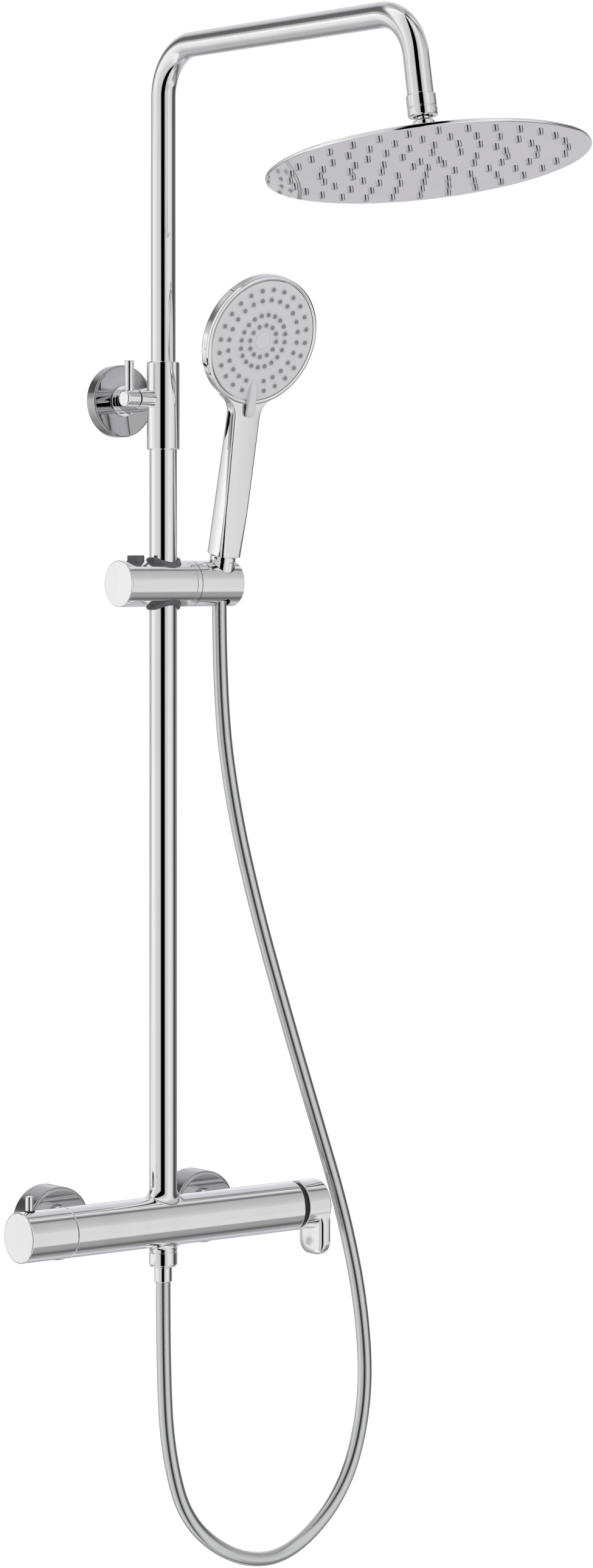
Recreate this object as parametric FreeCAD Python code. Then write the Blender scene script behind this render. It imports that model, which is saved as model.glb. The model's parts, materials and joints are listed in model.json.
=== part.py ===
# Rainfall shower column: thermostatic bar mixer, telescopic riser, rain head, slider, hand shower and hose.
# Millimetres. Origin on the finished wall, midway between the two wall unions. +X right, +Y into the wall, +Z up.
import FreeCAD, Part
import math
import os

# overall layout
riser_y = -66.0              # the riser and mixer axes stand this far out from the wall
inlet_spacing = 150.0
bracket_z = 675.0
slider_z = 523.6
arm_z = 963.0
arm_reach = 316.5            # riser axis to the corner of the second bend
head_tilt = 10.0             # the drop and the head lean out by this angle
drop_length = 120.8          # corner of the second bend to the underside of the head

# mixer
bar_r = 20.5
bar_left = -99.6
bar_right = 134.0
temperature_knob_end = -145.0
flow_knob_start = 138.6
flow_knob_end = 161.6
paddle_drop = 42.0            # the flow knob's thumb paddle reaches this far below the bar's axis
paddle_half_width = 18.8
cartridge_r = 15.8
cartridge_bore_r = 16.0
spindle_r = 4.0
stop_button_x = -134.0
stop_button_r = 3.3
stop_button_top = 32.5

# wall unions
rosette_r = 30.0
rosette_front = -25.0
wall_thread_r = 10.48        # G1/2 male
union_thread_r = 13.1        # G3/4 male
nut_thread_r = 13.3

# riser
lower_pipe_r = 11.4
lower_bore_r = 10.5
upper_pipe_r = 10.2
upper_bore_r = 8.7
sleeve_r = 13.5
sleeve_bottom = 633.5
sleeve_top = 705.8
upper_pipe_bottom = 500.0
first_bend_r = 40.0
second_bend_r = 42.0

# wall bracket
flange_r = 30.0
flange_front = -11.0
stem_r = 10.0
clamp_r = 7.1
clamp_pin_x = -34.5

# rain head
head_r = 125.0
head_rim = 3.0
nozzle_rings = ((12.4, 5), (37.3, 10), (60.3, 20), (83.3, 25), (106.3, 30))
nozzle_r = 2.5
nozzle_drop = 2.6
ball_height = 45.2           # centre of the swivel ball over the underside of the head
ball_r = 7.5

# slider and holder
slider_r = 19.0
slider_left = -46.0
slider_seam = 21.8
holder_start = 27.0
holder_end = 70.0
button_x = -28.0
button_r = 7.0
pivot = FreeCAD.Vector(55.0, riser_y - 4.0, slider_z)    # where the handset's axis crosses the slider's
handle_lean = 13.0

# hand shower, along its own axis from the pivot
cone_bottom = -12.0
handle_bottom = 24.0
face_along = 206.6
face_out = 12.8
face_turn = 6.0              # the head leans out this much more than the handle
handset_r = 55.0
face_r = 51.0
handset_rings = ((13.4, 12), (22.3, 20), (35.0, 24), (43.6, 24))
fin_half_angle = 12.0        # no nozzle of the two outer rings is closer to the fin than this
fin_width = 8.0

# hose: outlet under the mixer to the holder
hose_r = 6.0
hose_route = (
    (0, -66, -50), (0, -66, -120), (4, -67, -192), (22, -69, -252), (75, -71, -290), (130, -72, -292),
    (188, -72, -246), (211, -72.5, -172), (206.5, -72, -92), (185.5, -72, -8), (154, -71.7, 78),
    (122, -71.3, 167), (93, -71, 252), (69, -70.5, 338), (55.5, -70, 425), (55, -70, 509.2),
)

X = FreeCAD.Vector(1, 0, 0)
Y = FreeCAD.Vector(0, 1, 0)
Z = FreeCAD.Vector(0, 0, 1)
origin = FreeCAD.Vector(0, 0, 0)


def at(x, y, z):
    return FreeCAD.Vector(x, y, z)


def rod(radius, start, axis, length):
    return Part.makeCylinder(radius, length, start, axis)


def tube(outer, inner, start, axis, length):
    return rod(outer, start, axis, length).cut(rod(inner, start, axis, length))


def along_bar(radius, x1, x2):
    return rod(radius, at(x1, riser_y, 0), X, x2 - x1)


def along_riser(radius, z1, z2):
    return rod(radius, at(0, riser_y, z1), Z, z2 - z1)


def riser_tube(outer, inner, z1, z2):
    return along_riser(outer, z1, z2).cut(along_riser(inner, z1 - 1, z2 + 1))


def hexagon(across_flats, start, axis, length):
    corner = across_flats / math.sqrt(3)
    points = [at(corner * math.cos(math.radians(a)), corner * math.sin(math.radians(a)), 0) for a in range(0, 420, 60)]
    prism = Part.Face(Part.makePolygon(points)).extrude(Z * length)
    prism.Placement = FreeCAD.Placement(start, FreeCAD.Rotation(Z, axis))
    return prism


def spring(radius, wire_r, start, axis, length, turns):
    pitch = (length - 2 * wire_r) / turns
    helix = Part.makeHelix(pitch, pitch * turns, radius)
    section = Part.Wire([Part.makeCircle(wire_r, at(radius, 0, 0), Y)])
    coil = Part.Wire(helix.Edges).makePipeShell([section], True, True)
    coil.Placement = FreeCAD.Placement(start + axis * wire_r, FreeCAD.Rotation(Z, axis))
    return coil


def both_inlets(make):
    return Part.makeCompound([make(-inlet_spacing / 2), make(inlet_spacing / 2)])


def save(name, shape):
    os.makedirs("parts", exist_ok=True)
    shape.exportStep("parts/" + name + ".step")


# ---- mixer ----

def mixer_body():
    body = along_bar(bar_r, bar_left, bar_right)
    for x in (-inlet_spacing / 2, inlet_spacing / 2):
        body = body.fuse(rod(8.8, at(x, -50, 0), Y, 9))
        body = body.fuse(rod(12.5, at(x, -41, 0), Y, 1.4))
    body = body.cut(along_bar(cartridge_bore_r, bar_left - 1, -48))
    body = body.cut(along_bar(cartridge_bore_r, 86, bar_right + 1))
    body = body.cut(along_bar(7, -50, 90))
    for x in (-inlet_spacing / 2, inlet_spacing / 2):
        body = body.cut(rod(7.5, at(x, riser_y, 0), Y, 40))
    body = body.cut(along_riser(8.9, 5, 30))
    body = body.cut(along_riser(8.25, -30, -5))
    return body.removeSplitter()


def inlet_union(x):
    body = rod(union_thread_r, at(x, -38, 0), Y, 11)
    body = body.fuse(hexagon(24, at(x, -27, 0), Y, 12))
    body = body.fuse(rod(11.6, at(x, -15, 0), Y, 15))
    body = body.fuse(rod(wall_thread_r, at(x, 0, 0), Y, 14))
    return body.cut(rod(7.0, at(x, -39, 0), Y, 54)).removeSplitter()


def union_nut(x):
    nut = hexagon(30, at(x, -45.2, 0), Y, 16)
    nut = nut.common(rod(16.2, at(x, -46, 0), Y, 18))
    nut = nut.cut(rod(9.0, at(x, -46, 0), Y, 18))
    return nut.cut(rod(nut_thread_r, at(x, -41.2, 0), Y, 14))


def union_seal(x):
    return tube(12.6, 7.6, at(x, -39.55, 0), Y, 1.5)


def check_valve(x):
    return tube(7.4, 4.0, at(x, -50, 0), Y, 9)


def wall_rosette(x):
    shell = rod(rosette_r, at(x, rosette_front, 0), Y, -rosette_front - 0.2)
    shell = shell.cut(rod(rosette_r - 1.6, at(x, rosette_front + 1.8, 0), Y, 30))
    return shell.cut(rod(14.2, at(x, rosette_front - 1, 0), Y, 5))


def thermostat_cartridge():
    body = along_bar(cartridge_r, bar_left, -62)
    body = body.fuse(along_bar(9, -62, -52))
    return body.cut(along_bar(spindle_r + 0.3, bar_left - 1, -80))


def thermostat_stop_ring():
    return along_bar(16.6, -106, bar_left - 0.05).cut(along_bar(6, -107, bar_left))


def temperature_spindle():
    return along_bar(spindle_r, -138, -82)


def temperature_knob():
    knob = along_bar(bar_r, temperature_knob_end, -100)
    knob = knob.makeFillet(1.2, [knob.Edges[i] for i in end_circles(knob, temperature_knob_end)])
    knob = knob.cut(along_bar(17.5, -139, -99))
    knob = knob.fuse(along_bar(7.0, -140, -112))
    knob = knob.cut(along_bar(spindle_r, -138, -100))
    hole = rod(stop_button_r + 0.25, at(stop_button_x, riser_y, 15), Z, 10)
    return knob.cut(hole)


def end_circles(shape, x):
    return [i for i, e in enumerate(shape.Edges) if all(abs(v.Point.x - x) < 0.01 for v in e.Vertexes)]


def stop_button():
    button = rod(stop_button_r, at(stop_button_x, riser_y, 12.6), Z, stop_button_top - 12.6)
    return button.fuse(rod(4.6, at(stop_button_x, riser_y, 12.6), Z, 1.6))


def stop_button_spring():
    return spring(2.6, 0.4, at(stop_button_x, riser_y, 7.3), Z, 5.1, 4)


def diverter_cartridge():
    body = along_bar(cartridge_r, 89, 133)
    return body.cut(along_bar(spindle_r + 0.3, 110, 134))


def knob_gap_ring():
    return along_bar(18.8, bar_right + 0.05, flow_knob_start - 0.3).cut(along_bar(8, 130, 140))


def diverter_spindle():
    return along_bar(spindle_r, 112, 156)


def thumb_paddle():
    """A U-shaped blade at the outer end, whose inner face slopes outwards as it goes down."""
    left = flow_knob_end - 12
    tip = at(left, riser_y, paddle_half_width - paddle_drop)
    blade = rod(paddle_half_width, tip, X, flow_knob_end - left)
    blade = blade.fuse(Part.makeBox(flow_knob_end - left, 2 * paddle_half_width, -tip.z,
                                    at(left, riser_y - paddle_half_width, tip.z)))
    profile = [(left, 0), (left, -17), (flow_knob_end - 4.6, -38), (flow_knob_end - 4.6, -43),
               (flow_knob_end, -43), (flow_knob_end, 0), (left, 0)]
    corners = [at(x, riser_y - bar_r, z) for x, z in profile]
    return blade.common(Part.Face(Part.makePolygon(corners)).extrude(Y * 2 * bar_r))


def flow_knob():
    knob = along_bar(bar_r, flow_knob_start, flow_knob_end).fuse(thumb_paddle()).removeSplitter()
    knob = knob.cut(along_bar(17, flow_knob_start - 1, flow_knob_start + 5))
    return knob.cut(along_bar(spindle_r, flow_knob_start, 156))


def hose_outlet_spigot():
    return riser_tube(8.15, 5, -32, -9)


def outlet_washer():
    return riser_tube(8.0, 5, -33.6, -32.1)


def hose_nut():
    nut = along_riser(11.9, -37, -22.3)
    nut = nut.common(hexagon(22.8, at(0, riser_y, -38), Z, 16))
    nut = nut.cut(along_riser(8.2, -35.6, -22))
    return nut.cut(along_riser(6.3, -38, -35))


# ---- riser and wall bracket ----

def riser_nipple():
    nipple = riser_tube(8.9, 6.5, 10, 22).fuse(riser_tube(lower_bore_r, 6.5, 22, 46))
    for z in (28, 38):
        nipple = nipple.cut(riser_tube(lower_bore_r + 1, lower_bore_r - 1.4, z, z + 3))
    return nipple.removeSplitter()


def riser_seals():
    return Part.makeCompound([riser_tube(lower_bore_r, lower_bore_r - 1.4, z + 0.1, z + 2.9) for z in (28, 38)])


def lower_riser_pipe():
    pipe = riser_tube(lower_pipe_r, lower_bore_r, 12, 652)
    return pipe.cut(along_bar(bar_r + 0.05, -30, 30))


def bracket_sleeve():
    stub = rod(clamp_r, at(-26.3, riser_y, bracket_z), X, 26.3)
    sleeve = along_riser(sleeve_r, sleeve_bottom, sleeve_top).fuse(stub)
    sleeve = sleeve.cut(along_riser(lower_bore_r, sleeve_bottom - 1, sleeve_top + 1))
    sleeve = sleeve.cut(along_riser(lower_pipe_r + 0.05, sleeve_bottom - 1, 652.2))
    sleeve = sleeve.cut(rod(3.2, at(-27, riser_y, bracket_z), X, 20))
    return sleeve.removeSplitter()


def clamp_pad():
    return rod(3.1, at(-13.4, riser_y, bracket_z), X, 2.8)


def clamp_seal():
    return tube(6.5, 3.2, at(-27.2, riser_y, bracket_z), X, 0.85)


def clamp_screw():
    return rod(2.5, at(-36, riser_y, bracket_z), X, 22.3)


def clamp_knob():
    knob = rod(clamp_r, at(-40.8, riser_y, bracket_z), X, 13.3)
    rim = [knob.Edges[i] for i in end_circles(knob, -40.8)]
    knob = knob.makeFillet(1.6, rim)
    knob = knob.cut(rod(2.5, at(-36, riser_y, bracket_z), X, 10))
    return knob.cut(rod(3.75, at(clamp_pin_x, riser_y, bracket_z + 3.5), Z, 10))


def clamp_pin():
    pin = rod(3.75, at(clamp_pin_x, riser_y, bracket_z + 3.5), Z, 27.5)
    top = [e for e in pin.Edges if all(v.Point.z > bracket_z + 30 for v in e.Vertexes)]
    return pin.makeFillet(0.5, top)


def bracket_stem():
    stem = rod(stem_r, at(0, riser_y + 8, bracket_z), Y, -riser_y - 8 - 5.5)
    stem = stem.fuse(rod(13, at(0, flange_front - 1.6, bracket_z), Y, 1.5))
    stem = stem.cut(along_riser(sleeve_r + 0.05, bracket_z - 30, bracket_z + 30))
    stem = stem.cut(rod(8.1, at(0, -24, bracket_z), Y, 30))
    return stem.cut(rod(2.1, at(0, -17, bracket_z - 14), Z, 14))


def bracket_flange():
    shell = rod(flange_r, at(0, flange_front, bracket_z), Y, -flange_front - 0.2)
    shell = shell.cut(rod(flange_r - 1.6, at(0, flange_front + 1.6, bracket_z), Y, 20))
    return shell.cut(rod(stem_r + 0.1, at(0, -20, bracket_z), Y, 20))


def bracket_wall_plate():
    plate = rod(24, at(0, -4.5, bracket_z), Y, 4.5).fuse(rod(8, at(0, -23.5, bracket_z), Y, 20))
    for x in (-16, 16):
        plate = plate.cut(rod(2.5, at(x, -10, bracket_z), Y, 12))
    return plate.cut(rod(1.5, at(0, -17, bracket_z - 9), Z, 4)).removeSplitter()


def grub_screw():
    return rod(2.0, at(0, -17, bracket_z - 10.4), Z, 2.3)


def riser_piston():
    piston = riser_tube(9.6, 6.5, 474, 499.8).fuse(riser_tube(upper_bore_r - 0.3, 6.5, 499, 520))
    for z in (479, 489):
        piston = piston.cut(riser_tube(11, 8.4, z, z + 3))
    return piston.removeSplitter()


def piston_seals():
    return Part.makeCompound([riser_tube(lower_bore_r - 0.3, 8.4, z + 0.1, z + 2.9) for z in (479, 489)])


# ---- shower arm and rain head ----

def out_of_head(height):
    """A point on the drop's axis, this high over the underside of the head."""
    lean = math.radians(head_tilt)
    back = drop_length - height
    return at(0, riser_y - arm_reach - back * math.sin(lean), arm_z - back * math.cos(lean))


drop_axis = at(0, math.sin(math.radians(head_tilt)), math.cos(math.radians(head_tilt)))


def arm_path():
    turn = math.radians(90 - head_tilt)
    reach = second_bend_r * math.tan(turn / 2)
    bottom = at(0, riser_y, upper_pipe_bottom)
    a1 = at(0, riser_y, arm_z - first_bend_r)
    a3 = at(0, riser_y - first_bend_r, arm_z)
    centre1 = at(0, riser_y - first_bend_r, arm_z - first_bend_r)
    a2 = centre1 + at(0, first_bend_r * math.sqrt(0.5), first_bend_r * math.sqrt(0.5))
    b1 = at(0, riser_y - arm_reach + reach, arm_z)
    centre2 = b1 - Z * second_bend_r
    b2 = centre2 + at(0, -second_bend_r * math.sin(turn / 2), second_bend_r * math.cos(turn / 2))
    b3 = centre2 + at(0, -second_bend_r * math.sin(turn), second_bend_r * math.cos(turn))
    return Part.Wire([
        Part.LineSegment(bottom, a1).toShape(),
        Part.Arc(a1, a2, a3).toShape(),
        Part.LineSegment(a3, b1).toShape(),
        Part.Arc(b1, b2, b3).toShape(),
        Part.LineSegment(b3, out_of_head(54.4)).toShape(),
    ])


def swept(path, radius, start, direction):
    section = Part.Wire([Part.makeCircle(radius, start, direction)])
    return path.makePipeShell([section], True, False)


def shower_arm():
    start = at(0, riser_y, upper_pipe_bottom)
    outer = swept(arm_path(), upper_pipe_r, start, Z)
    return outer.cut(swept(arm_path(), upper_bore_r, start, Z))


def on_drop(outer, inner, z1, z2):
    return tube(outer, inner, out_of_head(z1), drop_axis, z2 - z1)


def arm_nut():
    nut = rod(11.5, out_of_head(37.1), drop_axis, 17.1)
    nut = nut.cut(rod(7.6, out_of_head(36), drop_axis, 5))
    nut = nut.cut(rod(9.1, out_of_head(39.5), drop_axis, 14))
    return nut.cut(rod(5, out_of_head(50), drop_axis, 8))


def ball_seat():
    centre = out_of_head(ball_height)
    shell = Part.makeSphere(8.9, centre).cut(Part.makeSphere(ball_r + 0.15, centre))
    return shell.common(rod(12, out_of_head(ball_height - 3.8), drop_axis, 7.6))


def swivel_ball():
    body = Part.makeSphere(ball_r, out_of_head(ball_height))
    body = body.fuse(rod(5, out_of_head(30), drop_axis, 12))
    body = body.fuse(rod(8.5, out_of_head(24), drop_axis, 9.6))
    return body.cut(rod(3.5, out_of_head(20), drop_axis, 40)).removeSplitter()


def head_flange():
    body = on_drop(14, 8.55, 24, 29).fuse(on_drop(20, 8.55, 3.1, 24))
    return body.cut(rod(16, out_of_head(0), drop_axis, 20)).removeSplitter()


def head_top_plate():
    return on_drop(head_r - 1.2, 8, head_rim - 1, head_rim)


def head_spray_plate():
    plate = rod(head_r, out_of_head(0), drop_axis, head_rim)
    plate = plate.cut(rod(head_r - 1.1, out_of_head(1), drop_axis, head_rim))
    holes = [nozzle(r, n, k, nozzle_r + 0.05, -1, 3) for r, n in nozzle_rings for k in range(n)]
    return plate.cut(Part.makeCompound(holes))


def nozzle(ring_r, count, k, radius, z1, z2):
    angle = math.radians(90 + 360 * k / count)
    lean = math.radians(head_tilt)
    outward = at(0, -math.cos(lean), math.sin(lean))
    place = out_of_head(z1) + X * (ring_r * math.cos(angle)) + outward * (ring_r * math.sin(angle))
    return rod(radius, place, drop_axis, z2 - z1)


def head_nozzle_mat():
    mat = rod(115, out_of_head(1.05), drop_axis, 0.75)
    return mat.fuse([nozzle(r, n, k, nozzle_r, -nozzle_drop, 1.5) for r, n in nozzle_rings for k in range(n)])


# ---- slider ----

def slider_body():
    body = rod(slider_r, at(slider_left + 1.6, riser_y, slider_z), X, slider_seam - slider_left - 1.6)
    body = body.cut(along_riser(14.2, slider_z - 30, slider_z + 30))
    body = body.cut(rod(button_r + 0.2, at(button_x, riser_y, slider_z + 3), Z, 30))
    body = body.cut(rod(3.5, at(-21, riser_y, slider_z), X, 10))
    return body.fuse(rod(7, at(slider_seam - 1, riser_y, slider_z), X, 18)).removeSplitter()


def slider_end_cap():
    cap = rod(slider_r, at(slider_left, riser_y, slider_z), X, 1.55)
    return cap.makeFillet(0.4, [cap.Edges[i] for i in end_circles(cap, slider_left)])


def slider_liner():
    lips = rod(slider_r + 2.2, at(-16, riser_y, slider_z), X, 32)
    liner = riser_tube(14.1, lower_pipe_r + 0.3, slider_z - 30, slider_z + 30)
    return liner.common(lips)


def slider_ring():
    return tube(slider_r, 7.1, at(slider_seam + 0.15, riser_y, slider_z), X, holder_start - slider_seam - 0.45)


def slider_button():
    return rod(button_r, at(button_x, riser_y, slider_z + 12), Z, 11.2)


def slider_button_spring():
    return spring(3.6, 0.6, at(button_x, riser_y, slider_z + 3.2), Z, 8.6, 5)


def brake_pad():
    return rod(3.4, at(-20.8, riser_y, slider_z), X, 6.6)


def handset_holder():
    body = rod(slider_r, at(holder_start, riser_y, slider_z), X, holder_end - holder_start)
    body = body.cut(rod(7.3, at(holder_start - 1, riser_y, slider_z), X, 13))
    body = body.cut(moved(Part.makeCone(9.7, 11.7, 50, origin - Z * 14, Z), handset_place))
    return body.cut(hose_slot())


def hose_slot():
    """Room for the hose to hang straight down while the holder tilts around it."""
    room = hose_r + 1.5
    down = [at(0, 30 * math.sin(math.radians(a)), -30 * math.cos(math.radians(a))) for a in (8, -12, -34)]
    corners = [pivot] + [pivot + d for d in down] + [pivot]
    fan = Part.Face(Part.makePolygon([c - X * room for c in corners])).extrude(X * 2 * room)
    for d in (down[0], down[-1]):
        fan = fan.fuse(rod(room, pivot, d, 30))
    return fan


# ---- hand shower, built upright on its own axis, front towards -Y, then leant out ----

handset_place = FreeCAD.Placement(pivot, FreeCAD.Rotation(X, handle_lean))
face_place = handset_place * FreeCAD.Placement(at(0, -face_out, face_along), FreeCAD.Rotation(X, face_turn))


def moved(shape, place):
    result = shape.copy()
    result.Placement = place * result.Placement
    return result


def hose_ferrule():
    return moved(tube(5.6, 4, origin - Z * 11.6, Z, 26), handset_place)


def hose_cone_nut():
    nut = Part.makeCone(9.3, 10.75, 32, origin + Z * cone_bottom, Z)
    nut = nut.fuse(rod(10.75, origin + Z * 20, Z, handle_bottom - 20.2))
    return moved(nut.cut(rod(5.8, origin - Z * 20, Z, 60)), handset_place)


def rounded_section(width, depth, corner, back, height):
    half_w = width / 2 - corner
    half_d = depth / 2 - corner
    k = corner * math.sqrt(0.5)
    edges = []
    for sx, sy in ((1, 1), (-1, 1), (-1, -1), (1, -1)):
        c = at(sx * half_w, back + sy * half_d, height)
        side = at(sx * corner, 0, 0)
        front = at(0, sy * corner, 0)
        start, end = (side, front) if sx * sy > 0 else (front, side)
        edges.append(Part.Arc(c + start, c + at(sx * k, sy * k, 0), c + end).toShape())
    ends = [(e.Vertexes[0].Point, e.Vertexes[-1].Point) for e in edges]
    joined = []
    for i, edge in enumerate(edges):
        joined.append(edge)
        joined.append(Part.LineSegment(ends[i][1], ends[(i + 1) % 4][0]).toShape())
    return Part.Wire(joined)


def face_disc(outer, back, depth):
    """A disc parallel to the spray face, starting this far behind it."""
    return rod(outer, at(0, back, 0), Y, depth)


def handset_body():
    sections = [rounded_section(22, 24, 6, 0, handle_bottom), rounded_section(25, 19, 5, 0.5, 95),
                rounded_section(28, 13, 4, 1.5, 168)]
    handle = Part.makeLoft(sections, True, True)
    handle = moved(handle, handset_place).cut(moved(face_disc(handset_r + 0.1, -20, 23.05), face_place))
    shell = face_disc(handset_r, 3.1, 6.5).fuse(Part.makeCone(handset_r, 34, 12, at(0, 9.6, 0), Y))
    body = handle.fuse(moved(shell, face_place))
    hollow = face_disc(face_r + 0.3, 3, 6.4).fuse(Part.makeCone(face_r, 30, 10, at(0, 9.4, 0), Y))
    body = body.cut(moved(hollow, face_place))
    channel = rod(7.0, origin + Z * (handle_bottom - 1), Z, 18).fuse(rod(4.2, origin + Z * 40, Z, 120))
    return body.cut(moved(channel, handset_place))


def handset_waterway():
    return moved(tube(4.1, 3.1, origin + Z * 42, Z, 104), handset_place)


def handset_rim():
    return moved(face_disc(handset_r, 0, 3).cut(face_disc(face_r + 0.3, -1, 5)), face_place)


def spray_face():
    disc = face_disc(face_r, 0.2, 2.2)
    foot = Part.makeBox(fin_width, 4.6, 18, at(-fin_width / 2, -3.6, -face_r + 0.6))
    fin = Part.makeBox(fin_width, 2.7, 34, at(-fin_width / 2, -3.6, -handset_r - 11))
    disc = disc.fuse(foot).fuse(fin)
    holes = [face_nozzle(r, n, k, 1.75, -3, 4) for r, n in handset_rings for k in range(n)
             if not under_fin(r, n, k)]
    return moved(disc.cut(Part.makeCompound(holes)).removeSplitter(), face_place)


def under_fin(ring_r, count, k):
    from_bottom = abs((360 * k / count + 180) % 360 - 180)
    return ring_r > 30 and from_bottom < fin_half_angle


def face_nozzle(ring_r, count, k, radius, y1, y2):
    angle = math.radians(-90 + 360 * k / count)
    return rod(radius, at(ring_r * math.cos(angle), y1, ring_r * math.sin(angle)), Y, y2 - y1)


def handset_nozzle_mat():
    mat = face_disc(48, 2.5, 0.8)
    nozzles = [face_nozzle(r, n, k, 1.7, -1.0, 2.8) for r, n in handset_rings for k in range(n)
               if not under_fin(r, n, k)]
    return moved(mat.fuse(nozzles), face_place)


def jet_disc():
    return moved(face_disc(49.5, 4.2, 2.4), face_place)


# ---- hose ----

def hose_lower_collar():
    collar = riser_tube(8.0, 4, -35.3, -33.8).fuse(riser_tube(6.0, 4, -37.6, -35))
    return collar.fuse(riser_tube(7.25, 4, -50, -37.5)).removeSplitter()


def hose():
    points = [at(*p) for p in hose_route]
    edges = []
    here = points[0]
    for a, b, c in zip(points, points[1:], points[2:]):
        into = (b - a).normalize()
        out = (c - b).normalize()
        turn = math.acos(max(-1, min(1, into.dot(out))))
        set_back = 0.45 * min((b - a).Length, (c - b).Length)
        print("hose bend at", tuple(b), "radius", round(set_back / math.tan(turn / 2)))
        start = b - into * set_back
        end = b + out * set_back
        centre_side = (out - into).normalize()
        radius = set_back / math.tan(turn / 2)
        middle = b + centre_side * (radius / math.cos(turn / 2) - radius)
        edges.append(Part.LineSegment(here, start).toShape())
        edges.append(Part.Arc(start, middle, end).toShape())
        here = end
    edges.append(Part.LineSegment(here, points[-1]).toShape())
    path = Part.Wire(edges)
    solid = swept(path, hose_r, points[0], points[1] - points[0])
    expected = path.Length * math.pi * hose_r ** 2
    print("hose length", round(path.Length), "volume share", round(solid.Volume / expected, 4))
    return solid


nodes = {
    "mixer_body": mixer_body,
    "inlet_unions": lambda: both_inlets(inlet_union),
    "union_nuts": lambda: both_inlets(union_nut),
    "union_seals": lambda: both_inlets(union_seal),
    "check_valves": lambda: both_inlets(check_valve),
    "wall_rosettes": lambda: both_inlets(wall_rosette),
    "thermostat_cartridge": thermostat_cartridge,
    "thermostat_stop_ring": thermostat_stop_ring,
    "temperature_spindle": temperature_spindle,
    "temperature_knob": temperature_knob,
    "stop_button": stop_button,
    "stop_button_spring": stop_button_spring,
    "diverter_cartridge": diverter_cartridge,
    "knob_gap_ring": knob_gap_ring,
    "diverter_spindle": diverter_spindle,
    "flow_knob": flow_knob,
    "hose_outlet_spigot": hose_outlet_spigot,
    "outlet_washer": outlet_washer,
    "hose_nut": hose_nut,
    "riser_nipple": riser_nipple,
    "riser_seals": riser_seals,
    "lower_riser_pipe": lower_riser_pipe,
    "bracket_sleeve": bracket_sleeve,
    "clamp_pad": clamp_pad,
    "clamp_seal": clamp_seal,
    "clamp_screw": clamp_screw,
    "clamp_knob": clamp_knob,
    "clamp_pin": clamp_pin,
    "bracket_stem": bracket_stem,
    "bracket_flange": bracket_flange,
    "bracket_wall_plate": bracket_wall_plate,
    "grub_screw": grub_screw,
    "riser_piston": riser_piston,
    "piston_seals": piston_seals,
    "shower_arm": shower_arm,
    "arm_nut": arm_nut,
    "ball_seat": ball_seat,
    "swivel_ball": swivel_ball,
    "head_flange": head_flange,
    "head_top_plate": head_top_plate,
    "head_spray_plate": head_spray_plate,
    "head_nozzle_mat": head_nozzle_mat,
    "slider_body": slider_body,
    "slider_end_cap": slider_end_cap,
    "slider_liner": slider_liner,
    "slider_ring": slider_ring,
    "slider_button": slider_button,
    "slider_button_spring": slider_button_spring,
    "brake_pad": brake_pad,
    "handset_holder": handset_holder,
    "hose_ferrule": hose_ferrule,
    "hose_cone_nut": hose_cone_nut,
    "handset_body": handset_body,
    "handset_waterway": handset_waterway,
    "handset_rim": handset_rim,
    "spray_face": spray_face,
    "handset_nozzle_mat": handset_nozzle_mat,
    "jet_disc": jet_disc,
    "hose_lower_collar": hose_lower_collar,
    "hose": hose,
}

for name, make in nodes.items():
    shape = make()
    if not shape.isValid():
        print("not valid:", name)
    save(name, shape)
print(len(nodes), "nodes")
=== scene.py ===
import json
import math
import bmesh
import bpy
from mathutils import Matrix, Vector


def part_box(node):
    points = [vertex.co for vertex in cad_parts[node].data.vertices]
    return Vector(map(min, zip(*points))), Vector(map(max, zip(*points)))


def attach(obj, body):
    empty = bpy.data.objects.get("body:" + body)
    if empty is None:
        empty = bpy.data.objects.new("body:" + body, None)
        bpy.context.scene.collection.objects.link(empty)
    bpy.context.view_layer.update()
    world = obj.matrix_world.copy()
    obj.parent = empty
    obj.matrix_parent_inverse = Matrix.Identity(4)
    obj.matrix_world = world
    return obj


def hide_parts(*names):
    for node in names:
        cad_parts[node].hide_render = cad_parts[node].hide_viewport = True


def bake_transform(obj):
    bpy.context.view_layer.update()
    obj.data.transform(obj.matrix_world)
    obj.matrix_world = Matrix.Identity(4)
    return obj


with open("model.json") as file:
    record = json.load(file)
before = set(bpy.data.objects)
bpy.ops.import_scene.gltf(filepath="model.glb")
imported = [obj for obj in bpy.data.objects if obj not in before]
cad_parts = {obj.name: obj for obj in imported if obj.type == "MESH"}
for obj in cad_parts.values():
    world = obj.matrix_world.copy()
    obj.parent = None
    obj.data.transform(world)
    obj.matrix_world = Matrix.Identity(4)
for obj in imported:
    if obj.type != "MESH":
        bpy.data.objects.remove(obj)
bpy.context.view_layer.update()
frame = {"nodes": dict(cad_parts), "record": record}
print("frame loaded,", len(frame["nodes"]), "nodes")

# sizes in the dictionaries are millimetres; meshes are written in metres
mm = 0.001
axisX, axisY, axisZ = Vector((1, 0, 0)), Vector((0, 1, 0)), Vector((0, 0, 1))


def nodeBox(name):
    low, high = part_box(name)
    return low / mm, high / mm


def middle(name):
    low, high = nodeBox(name)
    return (low + high) / 2


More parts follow.
